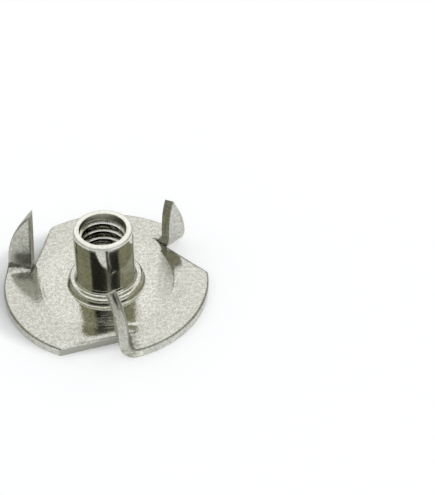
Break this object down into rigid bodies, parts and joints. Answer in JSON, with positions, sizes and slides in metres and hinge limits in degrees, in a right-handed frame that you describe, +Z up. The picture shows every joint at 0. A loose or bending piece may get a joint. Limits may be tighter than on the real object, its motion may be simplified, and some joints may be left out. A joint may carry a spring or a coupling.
{
  "type": "three-prong tee nut",
  "caption": "Three-prong tee nut: a thin threaded barrel on a round flange, with prongs folded up to bite into wood.",
  "frame": {"origin": "on the barrel's axis, in the plane of the flange's flat seat face", "axes": "+Z along the barrel towards its mouth; the prongs stand up along +Z, and the first of them is folded on the radius 168 degrees round from +X"},
  "size_m": [0.0164, 0.0163, 0.0064],
  "materials": {
    "stainless_sheet": "drawn and tumbled stainless steel, satin on the flange and brighter on the barrel, its rim and the folds"
  },
  "bodies": {
    "root": {"tee_nut": "stainless_sheet"}
  },
  "joints": []
}
